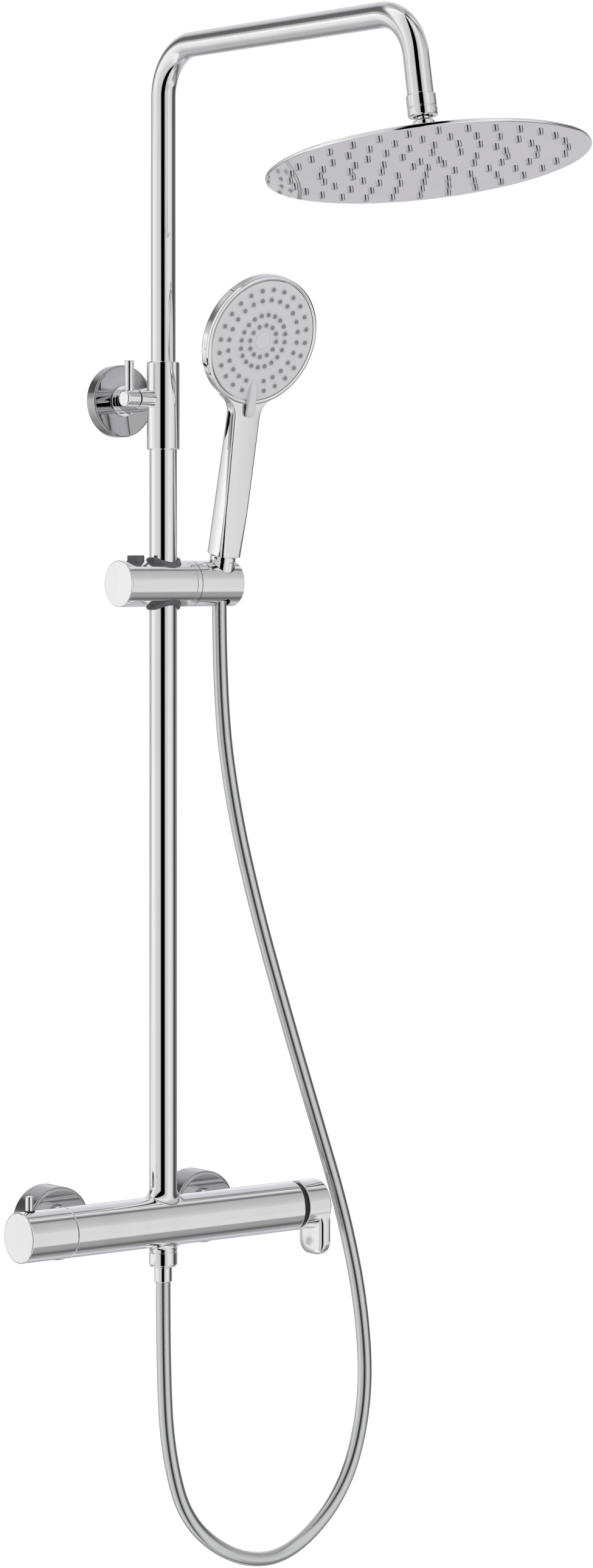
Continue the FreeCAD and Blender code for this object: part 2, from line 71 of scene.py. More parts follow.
# places that everything else hangs on
riserY = middle("lower_riser_pipe").y
bar = dict(radius=20.5, left=nodeBox("mixer_body")[0].x, right=nodeBox("mixer_body")[1].x)
bracketZ = middle("bracket_flange").z
sliderZ = middle("slider_ring").z
armZ = nodeBox("shower_arm")[1].z - 10.2
pivot = Vector((55, riserY - 4, sliderZ))        # where the handset's axis crosses the slider's
handsetPlace = Matrix.Translation(pivot) @ Matrix.Rotation(math.radians(13), 4, "X")
facePlace = handsetPlace @ Matrix.Translation((0, -12.8, 206.6)) @ Matrix.Rotation(math.radians(6), 4, "X")
headLean = math.radians(10)
dropAxis = Vector((0, math.sin(headLean), math.cos(headLean)))
headOut = Vector((0, -math.cos(headLean), math.sin(headLean)))
headCentre = Vector((0, riserY - 316.5, armZ)) - dropAxis * 120.8


# camera, light and floor

viewTurn = 38.5        # degrees to the left of straight on


def makeCamera():
    camera = bpy.data.objects.new("camera", bpy.data.cameras.new("camera"))
    camera.location = (-2.1242, -2.9124, 0.543)
    camera.rotation_euler = (math.radians(90), 0, math.radians(-viewTurn))
    camera.data.lens = 99.22
    camera.data.sensor_width = 36
    camera.data.shift_y = -0.14286
    camera.data.clip_end = 40
    bpy.context.collection.objects.link(camera)
    bpy.context.scene.camera = camera


class Value:
    # a shader socket that can be used in Python arithmetic
    def __init__(self, shade, socket):
        self.shade, self.socket = shade, socket

    def maths(self, operation, first, second):
        return self.shade.add("ShaderNodeMath", {"operation": operation}, {0: first, 1: second})

    def __add__(self, other):
        return self.maths("ADD", self, other)

    def __radd__(self, other):
        return self.maths("ADD", other, self)

    def __sub__(self, other):
        return self.maths("SUBTRACT", self, other)

    def __mul__(self, other):
        return self.maths("MULTIPLY", self, other)

    def __truediv__(self, other):
        return self.maths("DIVIDE", self, other)


class Shade:
    # one node tree, and the one method that puts a node in it
    def __init__(self, tree):
        self.tree = tree
        tree.nodes.clear()

    def add(self, kind, settings=None, sockets=None, out=0):
        node = self.tree.nodes.new(kind)
        for key, value in (settings or {}).items():
            if key == "stops":
                self.setStops(node.color_ramp, value)
            else:
                setattr(node, key, value)
        for key, value in (sockets or {}).items():
            if isinstance(value, Value):
                self.tree.links.new(value.socket, node.inputs[key])
            else:
                node.inputs[key].default_value = value
        return Value(self, node.outputs[out]) if len(node.outputs) else node

    def setStops(self, ramp, stops):
        while len(ramp.elements) > 1:
            ramp.elements.remove(ramp.elements[-1])
        for i, (place, colour) in enumerate(stops):
            stop = ramp.elements[0] if i == 0 else ramp.elements.new(place)
            stop.position = place
            stop.color = colour

    def smoothStep(self, value, low, high):
        return self.add("ShaderNodeMapRange", {"interpolation_type": "SMOOTHSTEP"},
                        {0: value, 1: low, 2: high})


def linear(level):
    level = level / 255
    return level / 12.92 if level < 0.04045 else ((level + 0.055) / 1.055) ** 2.4


def tone(level, tint=0):
    # tint pulls green down a little, for the lavender of the far softboxes
    return (linear(level), linear(level - tint * 0.6), linear(level + tint), 1)


studio = dict(
    # softboxes and black flags round the object: degrees from the camera's side, brightness
    around=[(-180, 176), (-158, 163), (-128, 180), (-114, 205), (-102, 249), (-90, 240), (-75, 231),
            (-56, 210),
            (-31, 205), (-22, 188), (-18, 60), (-15, 0), (10, 0), (13, 50), (16, 176), (22, 196), (34, 212),
            (48, 230), (70, 222), (84, 208), (92, 150), (99, 76), (116, 76), (126, 98), (138, 110),
            (156, 190),
            (180, 176)],
    # over and under it: degrees up from the front, brightness, tint
    over=[(-180, 206, 4), (-133, 190, 4), (-118, 206, 4), (-107, 180, 2), (-96, 138, 0), (-87, 120, 0),
          (-80, 96, 0), (-73, 130, 0), (-64, 156, 0), (-45, 160, 0), (-39, 219, 0), (-20, 219, 0),
          (-4, 223, 0),
          (12, 214, 0), (27, 200, 0), (40, 190, 0), (56, 184, 0), (65, 176, 0), (70, 116, 0), (75, 122, 0),
          (80, 180, 0), (86, 225, 0), (94, 226, 0), (99, 150, 0), (105, 130, 0), (112, 205, 3), (155, 214, 4),
          (180, 206, 4)],
    # over and under it on the wall's side: degrees up from the left, brightness, tint
    beyond=[(-180, 205, 4), (-160, 200, 3), (-144, 182, 3), (-132, 146, 2), (-110, 140, 1), (-96, 152, 0),
            (-80, 180, 0), (-60, 181, 0), (-46, 201, 0), (-32, 223, 0), (-16, 235, 0), (0, 220, 0),
            (16, 197, 0),
            (26, 170, 0), (31, 112, 0), (48, 97, 0), (66, 100, 0), (78, 165, 0), (96, 203, 2), (112, 213, 4),
            (128, 217, 4), (144, 228, 4), (160, 240, 4), (180, 216, 4)],
    brightness=1.06, background=1.0, fill=1.0)


def makeStudio():
    world = bpy.data.worlds.new("studio")
    bpy.context.scene.world = world
    world.use_nodes = True
    world.cycles.sampling_method = "NONE"
    shade = Shade(world.node_tree)
    direction = shade.add("ShaderNodeTexCoord", out="Generated")
    heading = math.radians(viewTurn)
    toward = (-math.sin(heading), -math.cos(heading), 0)
    right = (math.cos(heading), -math.sin(heading), 0)

    def along(vector):
        return shade.add("ShaderNodeVectorMath", {"operation": "DOT_PRODUCT"}, {0: direction, 1: vector},
                         "Value")

    def turn(first, second):
        return shade.add("ShaderNodeMath", {"operation": "ARCTAN2"},
                         {0: first, 1: second}) / (2 * math.pi) + 0.5

    def ramp(place, stops):
        return shade.add("ShaderNodeValToRGB", {"stops": stops}, {0: place})

    height = along((0, 0, 1))
    around = ramp(turn(along(right), along(toward)), [(a / 360 + 0.5, tone(v)) for a, v in studio["around"]])
    over = ramp(turn(height, along((0, -1, 0))), [(a / 360 + 0.5, tone(v, t)) for a, v, t in studio["over"]])
    beyond = ramp(turn(height, along((-1, 0, 0))),
                  [(a / 360 + 0.5, tone(v, t)) for a, v, t in studio["beyond"]])
    steep = shade.add("ShaderNodeMath", {"operation": "ABSOLUTE"}, {0: height})
    onRight = shade.smoothStep(steep, 0.22, 0.3) * shade.smoothStep(along((1, 0, 0)), 0.25, 0.5)
    atBack = shade.smoothStep(steep, 0.06, 0.14) * shade.smoothStep(along((0, 1, 0)), 0.5, 0.66)
    bands = shade.add("ShaderNodeMix", {"data_type": "RGBA"}, {0: onRight, 6: around, 7: over}, 2)
    bands = shade.add("ShaderNodeMix", {"data_type": "RGBA"}, {0: atBack, 6: bands, 7: beyond}, 2)
    path = shade.tree.nodes.new("ShaderNodeLightPath").outputs
    banded = shade.add("ShaderNodeBackground", None, {"Color": bands, "Strength": studio["brightness"]})
    plain = shade.add("ShaderNodeBackground", None, {"Strength": studio["background"]})
    soft = shade.add("ShaderNodeBackground", None, {"Strength": studio["fill"]})
    plain.socket.node.inputs["Color"].default_value = (1, 1, 1, 1)
    soft.socket.node.inputs["Color"].default_value = (1, 1, 1, 1)
    lit = shade.add("ShaderNodeMixShader", None,
                    {0: Value(shade, path["Is Diffuse Ray"]), 1: banded, 2: soft})
    seen = shade.add("ShaderNodeMixShader", None, {0: Value(shade, path["Is Camera Ray"]), 1: lit, 2: plain})
    shade.add("ShaderNodeOutputWorld", None, {"Surface": seen})
    bpy.context.scene.view_settings.view_transform = "Standard"


def softLight(name, place, aim, size, power):
    data = bpy.data.lights.new(name, "AREA")
    data.shape = "SQUARE"
    data.size = size
    data.energy = power
    light = bpy.data.objects.new(name, data)
    light.location = place
    light.rotation_euler = (Vector(aim) - Vector(place)).to_track_quat("-Z", "Y").to_euler()
    light.visible_glossy = False
    bpy.context.collection.objects.link(light)


def makeFloor():
    half, level = 1.5, -0.45
    mesh = bpy.data.meshes.new("floor")
    mesh.from_pydata([(-half, -half, level), (half, -half, level), (half, half, level), (-half, half, level)],
                     [],
                     [(0, 1, 2, 3)])
    floor = bpy.data.objects.new("floor", mesh)
    bpy.context.collection.objects.link(floor)
    material = bpy.data.materials.new("paleFloor")
    material.use_nodes = True
    surface = material.node_tree.nodes["Principled BSDF"]
    surface.inputs["Base Color"].default_value = (0.96, 0.96, 0.96, 1)
    surface.inputs["Roughness"].default_value = 0.9
    mesh.materials.append(material)
    floor.visible_glossy = False


makeCamera()
makeStudio()
softLight("keyLight", (-2.2, -2.0, 2.4), (0, -0.1, 0.4), 1.6, 40)
softLight("sideLight", (2.4, -1.6, 1.2), (0, -0.1, 0.4), 1.6, 22)
makeFloor()
print("camera, studio light and floor made")


# materials

def newMaterial(name, metallic=0.0, coat=0.0):
    material = bpy.data.materials.new(name)
    material.use_nodes = True
    shade = Shade(material.node_tree)
    surface = shade.tree.nodes.new("ShaderNodeBsdfPrincipled")
    surface.inputs["Metallic"].default_value = metallic
    surface.inputs["Coat Weight"].default_value = coat
    output = shade.tree.nodes.new("ShaderNodeOutputMaterial")
    shade.tree.links.new(surface.outputs[0], output.inputs["Surface"])
    return material, shade, surface


def feed(shade, surface, socket, value):
    shade.tree.links.new(value.socket, surface.inputs[socket])


def noise(shade, scale, detail=2.0, stretch=(1, 1, 1)):
    place = shade.add("ShaderNodeTexCoord", out="Object")
    place = shade.add("ShaderNodeMapping", None, {"Vector": place, "Scale": stretch})
    return shade.add("ShaderNodeTexNoise", None, {"Vector": place, "Scale": scale, "Detail": detail})


def blendColour(shade, amount, first, second):
    return shade.add("ShaderNodeMix", {"data_type": "RGBA"}, {0: amount, 6: first, 7: second}, 2)


def platedMetal(name, light, dark, roughness, wipe, ripple):
    # plate with faint wiping marks and the slight waviness of polished metal
    material, shade, surface = newMaterial(name, metallic=1.0)
    marks = shade.smoothStep(noise(shade, 38, 4, (1, 1, 0.25)), 0.42, 0.72)
    feed(shade, surface, "Base Color", blendColour(shade, marks, light, dark))
    feed(shade, surface, "Roughness", roughness + marks * wipe)
    waves = noise(shade, 14, 1)
    bump = shade.add("ShaderNodeBump", None, {"Strength": ripple, "Distance": 0.0004, "Height": waves})
    feed(shade, surface, "Normal", bump)
    return material


def mouldedPlastic(name, light, dark, roughness, grain, coat=0.0):
    material, shade, surface = newMaterial(name, coat=coat)
    surface.inputs["Coat Roughness"].default_value = 0.12
    patches = noise(shade, 60, 3)
    texture = noise(shade, 2600, 2)
    feed(shade, surface, "Base Color", blendColour(shade, patches, light, dark))
    feed(shade, surface, "Roughness", roughness + (patches - 0.5) * 0.12)
    bump = shade.add("ShaderNodeBump", None, {"Strength": grain, "Distance": 0.00008, "Height": texture})
    feed(shade, surface, "Normal", bump)
    return material


def turnedMetal(name, light, dark, roughness):
    # lathe rings and a cloudy tarnish
    material, shade, surface = newMaterial(name, metallic=1.0)
    clouds = noise(shade, 90, 4)
    rings = shade.add("ShaderNodeTexWave", {"wave_type": "RINGS"}, {
        "Vector": shade.add("ShaderNodeTexCoord", out="Object"), "Scale": 900, "Distortion": 0.4})
    feed(shade, surface, "Base Color", blendColour(shade, clouds, light, dark))
    feed(shade, surface, "Roughness", roughness + clouds * 0.15)
    bump = shade.add("ShaderNodeBump", None, {"Strength": 0.15, "Distance": 0.00005, "Height": rings})
    feed(shade, surface, "Normal", bump)
    return material


def hoseSheath(name):
    # clear sheath over a silver wrap: a fine slanted weave that only just shows
    material, shade, surface = newMaterial(name, metallic=1.0, coat=0.2)
    surface.inputs["Coat Roughness"].default_value = 0.12
    along = shade.add("ShaderNodeUVMap", {"uv_map": "sheath"})
    split = shade.tree.nodes.new("ShaderNodeSeparateXYZ")
    shade.tree.links.new(along.socket, split.inputs[0])
    round1, length = Value(shade, split.outputs[0]), Value(shade, split.outputs[1])
    strands = []
    for slant in (9, -9):
        phase = (length * 620 + round1 * slant) * (2 * math.pi)
        strands.append(shade.add("ShaderNodeMath", {"operation": "SINE"}, {0: phase}))
    weave = (strands[0] + strands[1]) * 0.25 + 0.5
    feed(shade, surface, "Base Color",
         blendColour(shade, weave, (0.71, 0.715, 0.72, 1), (0.75, 0.755, 0.76, 1)))
    feed(shade, surface, "Roughness", 0.23 + weave * 0.03)
    bump = shade.add("ShaderNodeBump", None, {"Strength": 0.015, "Distance": 0.0001, "Height": weave})
    feed(shade, surface, "Normal", bump)
    return material


finishes = {
    "chrome": platedMetal("chromePlate", (0.93, 0.932, 0.94, 1), (0.9, 0.902, 0.912, 1), 0.035, 0.03, 0.02),
    "chromed_plastic": platedMetal("chromedPlastic", (0.93, 0.93, 0.935, 1), (0.9, 0.9, 0.91, 1), 0.045, 0.03,
                                   0.03),
    "hose_silver": hoseSheath("hoseSheath"),
    "spray_grey": mouldedPlastic("sprayFaceGrey", (0.49, 0.49, 0.5, 1), (0.45, 0.45, 0.46, 1), 0.42, 0.12,
                                 0.15),
    "nozzle_grey": mouldedPlastic("nozzleSilicone", (0.3, 0.3, 0.31, 1), (0.24, 0.24, 0.25, 1), 0.38, 0.1,
                                  0.1),
    "dark_grey_plastic": mouldedPlastic("saddleGrey", (0.085, 0.085, 0.09, 1), (0.06, 0.06, 0.065, 1), 0.45,
                                        0.2),
    "black_plastic": mouldedPlastic("blackPlastic", (0.005, 0.005, 0.005, 1), (0.009, 0.009, 0.009, 1), 0.4,
                                    0.2),
    "black_rubber": mouldedPlastic("blackRubber", (0.02, 0.02, 0.02, 1), (0.03, 0.03, 0.03, 1), 0.6, 0.3),
    "raw_brass": turnedMetal("turnedBrass", (0.72, 0.54, 0.26, 1), (0.6, 0.43, 0.2, 1), 0.22),
    "spring_steel": turnedMetal("springSteel", (0.5, 0.5, 0.52, 1), (0.4, 0.4, 0.42, 1), 0.25),
    "white_plastic": mouldedPlastic("acetalWhite", (0.72, 0.72, 0.69, 1), (0.66, 0.66, 0.63, 1), 0.4, 0.15),
}
# painted shade: a darkened copy of the chrome plate, for the wall rosettes and the bracket flange, that
# paints in their dark reflections
shadedCoverChrome = platedMetal("shadedCoverChrome", (0.5, 0.502, 0.51, 1), (0.47, 0.472, 0.48, 1), 0.03, 0.02, 0.02)
# painted highlight: a brightened copy of the chrome plate, for the rain head's spray plate
brightenedHeadMirror = platedMetal("brightenedHeadMirror", (0.985, 0.985, 0.985, 1), (0.96, 0.96, 0.965, 1), 0.03, 0.02, 0.01)
nozzleTip = mouldedPlastic("nozzleTip", (0.16, 0.16, 0.17, 1), (0.2, 0.2, 0.21, 1), 0.4, 0.1, 0.2)
# painted shade: a near-black tip that stands for the shadowed hole in each head nozzle
nozzleHoleShade = mouldedPlastic("nozzleHoleShade", (0.02, 0.02, 0.022, 1), (0.03, 0.03, 0.03, 1), 0.5, 0.1)
ringGrey = mouldedPlastic("faceRings", (0.44, 0.44, 0.45, 1), (0.48, 0.48, 0.49, 1), 0.45, 0.1)
print("materials made")


# mesh tools

def softCorners(points, bevel, closed=False, steps=4):
    # rounds each corner of a profile, with a support point each side so that flats stay flat
    corners = [Vector(p[:2]) for p in points]
    sizes = [p[2] if len(p) > 2 else bevel for p in points]
    count = len(corners)
    result = []
    for i, corner in enumerate(corners):
        if not closed and i in (0, count - 1):
            result.append(corner)
            continue
        before, after = corners[i - 1], corners[(i + 1) % count]
        into, out = (corner - before), (after - corner)
        size = min(sizes[i], 0.4 * into.length, 0.4 * out.length)
        if size < 1e-4 or into.angle(out, 0) < 0.09:
            result.append(corner)
            continue
        start, end = corner - into.normalized() * size, corner + out.normalized() * size
        hold = min(0.5 * size, 0.08 * into.length)
        result.append(start - into.normalized() * hold)
        for k in range(steps + 1):
            t = k / steps
            result.append(start * (1 - t) ** 2 + corner * (2 * t * (1 - t)) + end * t ** 2)
        result.append(end + out.normalized() * min(0.5 * size, 0.08 * out.length))
    return [tuple(p) for p in result]


def ringFaces(rings, closed=False):
    faces = []
    pairs = list(zip(rings, rings[1:])) + ([(rings[-1], rings[0])] if closed else [])
    for low, high in pairs:
        count = max(len(low), len(high))
        for k in range(count):
            n = (k + 1) % count
            if len(low) == 1:
                faces.append((low[0], high[n], high[k]))
            elif len(high) == 1:
                faces.append((low[k], low[n], high[0]))
            else:
                faces.append((low[k], low[n], high[n], high[k]))
    return faces


def turned(profile, base, axis, segments=96, closed=False, wave=None):
    # a lathe: profile is (radius, distance along the axis)
    axis = Vector(axis).normalized()
    side = axisZ if abs(axis.z) < 0.9 else axisX
    side = (side - axis * side.dot(axis)).normalized()
    across = axis.cross(side)
    points, rings = [], []
    for radius, height in profile:
        first = len(points)
        if radius < 1e-6:
            points.append(base + axis * height)
            rings.append([first])
            continue
        for k in range(segments):
            a = 2 * math.pi * k / segments
            shift = wave(a, height) if wave else 0
            points.append(base + axis * (height + shift) + side * (radius * math.cos(a)) +
                          across * (radius * math.sin(a)))
        rings.append(list(range(first, first + segments)))
    return points, ringFaces(rings, closed)


def solidTurned(profile, base, axis, bevel=0.4, segments=96, wave=None):
    ends = [(0, profile[0][1])] + list(profile) + [(0, profile[-1][1])]
    return turned(softCorners(ends, bevel), Vector(base), axis, segments, wave=wave)


def ringTurned(profile, base, axis, bevel=0.3, segments=96):
    return turned(softCorners(profile, bevel, closed=True), Vector(base), axis, segments, closed=True)


def tubeTurned(outer, inner, low, high, base, axis, bevel=0.3, segments=96):
    profile = [(outer, low), (outer, high), (inner, high), (inner, low)]
    return ringTurned(profile, base, axis, bevel, segments)


def along(points, radius, segments):
    # a round bar along points, closed at both ends
    rings, result = [], []
    side = axisX.copy()
    count = len(points)
    for i, point in enumerate(points):
        tangent = (points[min(i + 1, count - 1)] - points[max(i - 1, 0)]).normalized()
        side = (side - tangent * side.dot(tangent)).normalized()
        across = tangent.cross(side)
        rings.append(list(range(len(result), len(result) + segments)))
        for k in range(segments):
            a = 2 * math.pi * k / segments
            result.append(point + side * (radius * math.cos(a)) + across * (radius * math.sin(a)))
    for point, last in ((points[0], False), (points[-1], True)):
        cap = [len(result)]
        result.append(Vector(point))
        rings = rings + [cap] if last else [cap] + rings
    return result, ringFaces(rings)


def lofted(sections):
    rings, points = [], []
    for section in sections:
        rings.append(list(range(len(points), len(points) + len(section))))
        points += section
    for ring, last in ((rings[0], False), (rings[-1], True)):
        centre = sum((points[i] for i in ring), Vector()) / len(ring)
        cap = [len(points)]
        points.append(centre)
        rings = rings + [cap] if last else [cap] + rings
    return points, ringFaces(rings)


def placed(shell, matrix):
    points, faces = shell
    return [matrix @ Vector(p) for p in points], faces


def makePiece(name, shells, finish, sharp=38):
    mesh = bpy.data.meshes.new(name)
    points, faces = [], []
    for shellPoints, shellFaces in shells:
        first = len(points)
        points += [Vector(p) * mm for p in shellPoints]
        faces += [[first + i for i in face] for face in shellFaces]
    mesh.from_pydata(points, [], faces)
    work = bmesh.new()
    work.from_mesh(mesh)
    bmesh.ops.recalc_face_normals(work, faces=work.faces)
    work.to_mesh(mesh)
    work.free()
    mesh.materials.append(finish)
    mesh.shade_smooth()
    mesh.set_sharp_from_angle(angle=math.radians(sharp))
    piece = bpy.data.objects.new(name, mesh)
    bpy.context.collection.objects.link(piece)
    return piece


def settle(piece):
    # leaves the modifiers' result as the piece's own mesh
    graph = bpy.context.evaluated_depsgraph_get()
    mesh = bpy.data.meshes.new_from_object(piece.evaluated_get(graph), preserve_all_data_layers=True,
                                           depsgraph=graph)
    piece.modifiers.clear()
    piece.data = mesh
    return piece


def combine(piece, shell, operation):
    tool = makePiece("tool", [shell], piece.data.materials[0])
    modifier = piece.modifiers.new("combine", "BOOLEAN")
    modifier.operation = operation
    modifier.object = tool
    modifier.solver = "EXACT"
    settle(piece)
    bpy.data.objects.remove(tool)
    return piece


def breakEdges(piece, width, angle=30, segments=3):
    modifier = piece.modifiers.new("breakEdges", "BEVEL")
    modifier.width = width * mm
    modifier.segments = segments
    modifier.limit_method = "ANGLE"
    modifier.angle_limit = math.radians(angle)
    modifier.harden_normals = True
    settle(piece)
    return piece


def handOver(piece, body, slot, *nodes):
    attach(piece, body)
    if nodes:
        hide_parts(*nodes)
    return piece


def addPiece(name, shells, slot, body, *nodes):
    # a piece in the finish of its own slot
    return handOver(makePiece(name, shells, finishes[slot]), body, slot, *nodes)


# hose

hoseSizes = dict(radius=6.0, length=1.17, segments=32)
# from the outlet under the mixer, down, round and up to the holder, in metres
hoseRoute = (
    (0, -0.066, -0.05), (0, -0.066, -0.12), (0.004, -0.067, -0.192), (0.022, -0.069, -0.252),
    (0.075, -0.071, -0.29), (0.13, -0.072, -0.292), (0.188, -0.072, -0.246), (0.211, -0.0725, -0.172),
    (0.2065, -0.072, -0.092), (0.1855, -0.072, -0.008), (0.154, -0.0717, 0.078), (0.122, -0.0713, 0.167),
    (0.093, -0.071, 0.252), (0.069, -0.0705, 0.338), (0.0555, -0.07, 0.425), (0.055, -0.07, 0.5092),
)


def hoseLine():
    data = bpy.data.curves.new("hoseRoute", "CURVE")
    data.dimensions = "3D"
    spline = data.splines.new("NURBS")
    spline.points.add(len(hoseRoute) - 1)
    for point, place in zip(spline.points, hoseRoute):
        point.co = (*place, 1)
    spline.order_u = 3
    spline.use_endpoint_u = True
    spline.resolution_u = 16
    route = bpy.data.objects.new("hoseRoute", data)
    bpy.context.collection.objects.link(route)
    line = bpy.data.meshes.new_from_object(route.evaluated_get(bpy.context.evaluated_depsgraph_get()))
    points = [v.co.copy() for v in line.vertices]
    bpy.data.objects.remove(route)
    return points


def makeHose():
    line = hoseLine()
    points = [p / mm for p in line]
    shell = along(points, hoseSizes["radius"], hoseSizes["segments"])
    piece = makePiece("showerHose", [shell], finishes["hose_silver"])
    layer = piece.data.uv_layers.new(name="sheath")
    segments = hoseSizes["segments"]
    travelled = [0.0]
    for a, b in zip(line, line[1:]):
        travelled.append(travelled[-1] + (b - a).length)
    for face in piece.data.polygons:
        turns = [piece.data.loops[i].vertex_index % segments for i in face.loop_indices]
        wraps = max(turns) - min(turns) > 1
        for i, turn in zip(face.loop_indices, turns):
            ring = min(piece.data.loops[i].vertex_index // segments, len(line) - 1)
            layer.data[i].uv = ((turn + (segments if wraps and turn == 0 else 0)) / segments, travelled[ring])
    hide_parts("hose")
    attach(piece, "hose_swivel")
    return piece, line


def blendHose(piece):
    piece.parent = None
    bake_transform(piece)


hose, hosePath = makeHose()
print("hose made")


# mixer

def saddle(pipeRadius, barRadius, fillet, up):
    # the rolling fillet where an upright pipe leaves the bar, over the bar's own surface
    segments, steps = 96, 12
    rings, points = [], []
    columns = []
    for k in range(segments):
        a = 2 * math.pi * k / segments
        across = (pipeRadius + fillet) * math.sin(a)
        height = math.sqrt((barRadius + fillet) ** 2 - across ** 2)
        centre = Vector(((pipeRadius + fillet) * math.cos(a), across, height))
        first = Vector((-math.cos(a), -math.sin(a), 0))
        last = -Vector((0, across, height)) / (barRadius + fillet)
        angle = first.angle(last)
        column = []
        for i in range(steps + 1):
            t = i / steps
            way = (first * math.sin((1 - t) * angle) + last * math.sin(t * angle)) / math.sin(angle)
            column.append(centre + way * fillet)
        inside = Vector((math.cos(a), math.sin(a), 0)) * (pipeRadius - 1.5)
        column.append(inside + axisZ * (barRadius * 0.6))
        column.append(inside + axisZ * (height - 0.1))
        columns.append(column)
    for i in range(len(columns[0])):
        rings.append(list(range(len(points), len(points) + segments)))
        for column in columns:
            p = column[i]
            points.append(Vector((p.x, riserY + p.y, p.z if up else -p.z)))
    return points, ringFaces(rings, closed=True)


mixer = dict(endWave=1.2, endBevel=1.1, endReach=12, inletRadius=8.8, riserFillet=9.0, neckRadius=10.4,
             neckFillet=7.0)


def makeMixer():
    def wave(angle, height):
        # the right end is cut a little hollow, so that it stands out at the top and bottom
        reach = max(0.0, (height - (bar["right"] - mixer["endReach"])) / mixer["endReach"])
        return mixer["endWave"] * reach * math.cos(angle) ** 2

    profile = [(bar["radius"] - 0.5, bar["left"]), (bar["radius"], bar["left"] + 0.5),
               (bar["radius"], bar["right"] - mixer["endReach"]),
               (bar["radius"], bar["right"], mixer["endBevel"])]
    shells = [solidTurned(profile, (0, riserY, 0), axisX, 0.3, 160, wave)]
    shells.append(saddle(11.4, bar["radius"], mixer["riserFillet"], True))
    shells.append(saddle(mixer["neckRadius"], bar["radius"], mixer["neckFillet"], False))
    for x in (-75, 75):
        shells.append(solidTurned([(mixer["inletRadius"], 0), (mixer["inletRadius"], 16.5)], (x, -57.5, 0),
                                  axisY, 0.3, 64))
        shells.append(solidTurned([(12.5, 0), (12.5, 1.4)], (x, -41, 0), axisY, 0.2, 64))
    addPiece("mixerHousing", shells, "chrome", "column", "mixer_body")
    neck = [tubeTurned(mixer["neckRadius"], 5, -26, -14, (0, riserY, 0), axisZ, 0.4)]
    addPiece("outletNeck", neck, "chrome", "column", "hose_outlet_spigot")


def makeWallUnions():
    nuts, rosettes, unions = [], [], []
    for x in (-75, 75):
        nut = [(15.6, -45.2), (15.6, -29.2), (9, -29.2), (9, -45.2)]
        facets = ringTurned(nut, (x, 0, 0), axisY, 0.8, 96)
        points = []
        for p in facets[0]:
            # flats of the hexagon pull the outside in, and the chamfered corners stay round
            turn = math.atan2(p.z, p.x - x)
            radius = math.hypot(p.z, p.x - x)
            flat = 15.0 / max(0.5, math.cos((turn + math.pi / 6) % (math.pi / 3) - math.pi / 6))
            scale = min(1.0, flat / radius) if radius > 12 else 1.0
            points.append(Vector((x + (p.x - x) * scale, p.y, p.z * scale)))
        nuts.append((points, facets[1]))
        cover = [(14.2, -25, 0.4), (30, -25, 2.0), (30, -0.2, 0.2), (28.4, -0.2, 0.2), (28.4, -23.2),
                 (14.2, -23.2)]
        rosettes.append(ringTurned(cover, (x, 0, 0), axisY, 0.3, 128))
        pipe = [(7, -38), (13.1, -38), (13.1, -27), (11.6, -25), (11.6, 0), (10.48, 0.3), (10.48, 14, 1),
                (7, 14)]
        unions.append(ringTurned(pipe, (x, 0, 0), axisY, 0.3, 64))
    addPiece("unionNuts", nuts, "chrome", "column", "union_nuts")
    # the rosettes take the darkened chrome, which is painted shade
    handOver(makePiece("wallRosettes", rosettes, shadedCoverChrome), "column", "chrome", "wall_rosettes")
    addPiece("wallUnions", unions, "raw_brass", "column", "inlet_unions")


def makeTemperatureKnob():
    start, end = nodeBox("temperature_knob")[0].x, -100.0
    profile = [(bar["radius"], start, 1.3), (bar["radius"], end, 0.35)]
    shells = [solidTurned(profile, (0, riserY, 0), axisX, 0.3, 160)]
    addPiece("temperatureKnob", shells, "chromed_plastic", "temperature_knob", "temperature_knob")
    ring = solidTurned([(20.0, -100.2), (20.0, -99.4)], (0, riserY, 0), axisX, 0.05)
    addPiece("knobSeam", [ring], "black_plastic", "column")
    low, high = nodeBox("stop_button")
    centre = (low + high) / 2
    pin = [solidTurned([(4.6, low.z), (4.6, low.z + 1.6), (3.3, low.z + 1.6), (3.3, high.z, 0.9)],
                       (centre.x, centre.y, 0), axisZ, 0.2, 48)]
    addPiece("stopButton", pin, "chromed_plastic", "stop_button", "stop_button")
    collar = [tubeTurned(4.6, 3.45, 18.5, 21.0, (centre.x, centre.y, 0), axisZ, 0.25, 48)]
    addPiece("stopButtonCollar", collar, "black_plastic", "temperature_knob")


flowKnob = dict(start=138.6, end=161.6, front=19.6, back=16.8, drop=42.0, innerSlope=0.24, cornerRadius=12.5,
                lipWave=1.6,
                # distance along the bar and how far the outline is drawn in there: soft edges and a dished
                # inner face
                sections=((161.6, 1.7), (161.35, 0.9), (160.7, 0.25), (159.7, 0), (155.8, 0), (154.0, 0.4),
                          (152.6, 1.4), (151.7, 2.8), (151.2, 4.6), (151.3, 7.5), (151.9, 11), (152.4, 14)))


